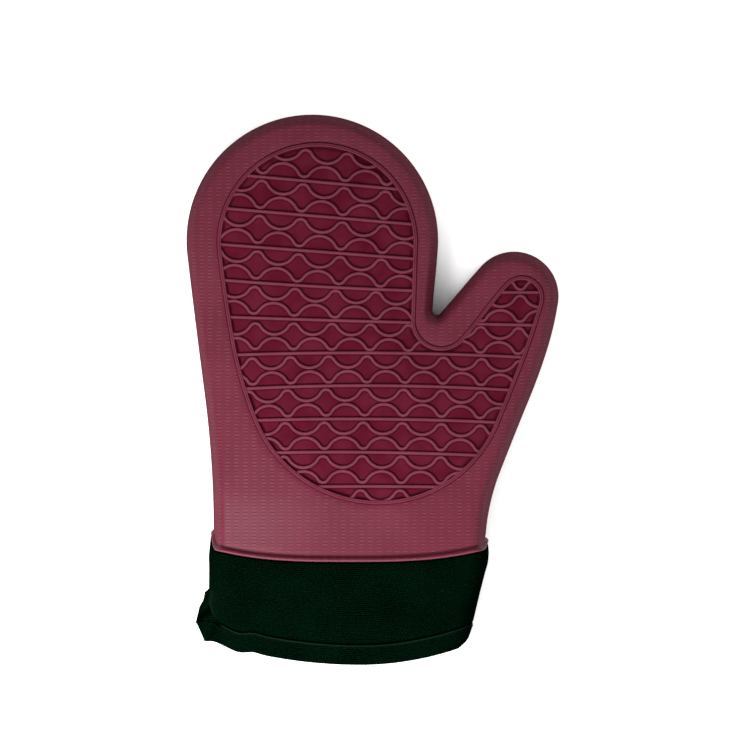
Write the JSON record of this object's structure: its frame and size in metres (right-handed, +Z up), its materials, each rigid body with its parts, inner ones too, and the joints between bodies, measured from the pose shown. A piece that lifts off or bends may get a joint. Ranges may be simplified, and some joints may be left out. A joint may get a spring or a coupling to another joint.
{
  "type": "oven mitt",
  "caption": "Moulded silicone oven mitt with a ribbed grip panel on the palm, a quilted liner and a woven cuff; fingers, thumb and cuff fold.",
  "frame": {"origin": "middle of the plan box, on the surface that the mitt lies on", "axes": "+Z up out of the palm, +Y to the fingertips, +X to the thumb"},
  "size_m": [0.2034, 0.3, 0.046],
  "materials": {
    "silicone": "matt moulded silicone with a fine embossed grain",
    "liner_face": "plain woven cotton",
    "batting": "soft polyester felt",
    "lining": "quilted woven cotton",
    "cuff_cloth": "closely woven ribbed cotton",
    "thread": "spun sewing thread"
  },
  "bodies": {
    "hand": {"palm_shell_hand": "silicone", "back_shell_hand": "silicone", "palm_face_cloth_hand": "liner_face", "back_face_cloth_hand": "liner_face", "palm_batting_hand": "batting", "back_batting_hand": "batting", "palm_lining_hand": "lining", "back_lining_hand": "lining", "palm_cuff_tuck": "cuff_cloth", "back_cuff_tuck": "cuff_cloth"},
    "fingers": {"palm_shell_fingers": "silicone", "back_shell_fingers": "silicone", "palm_face_cloth_fingers": "liner_face", "back_face_cloth_fingers": "liner_face", "palm_batting_fingers": "batting", "back_batting_fingers": "batting", "palm_lining_fingers": "lining", "back_lining_fingers": "lining"},
    "thumb": {"palm_shell_thumb": "silicone", "back_shell_thumb": "silicone", "palm_face_cloth_thumb": "liner_face", "back_face_cloth_thumb": "liner_face", "palm_batting_thumb": "batting", "back_batting_thumb": "batting", "palm_lining_thumb": "lining", "back_lining_thumb": "lining"},
    "cuff": {"palm_cuff_panel": "cuff_cloth", "back_cuff_panel": "cuff_cloth", "palm_cuff_facing": "cuff_cloth", "back_cuff_facing": "cuff_cloth", "hem_thread": "thread"}
  },
  "joints": [
    {"name": "finger_fold", "type": "hinge", "parent": "hand", "child": "fingers", "pos_m": [0.0358, 0.0459, 0.0386], "axis": [0.9994, -0.0349, 0.0019], "range_deg": [0, 85], "stiffness_Nm_per_rad": 0.3},
    {"name": "thumb_fold", "type": "hinge", "parent": "hand", "child": "thumb", "pos_m": [0.0358, 0.0459, 0.0386], "axis": [0.9133, -0.4066, 0.0217], "range_deg": [0, 60], "stiffness_Nm_per_rad": 0.1},
    {"name": "cuff_fold", "type": "hinge", "parent": "hand", "child": "cuff", "pos_m": [-0.0123, -0.095, 0.0463], "axis": [-1, 0, 0], "range_deg": [0, 85]}
  ]
}
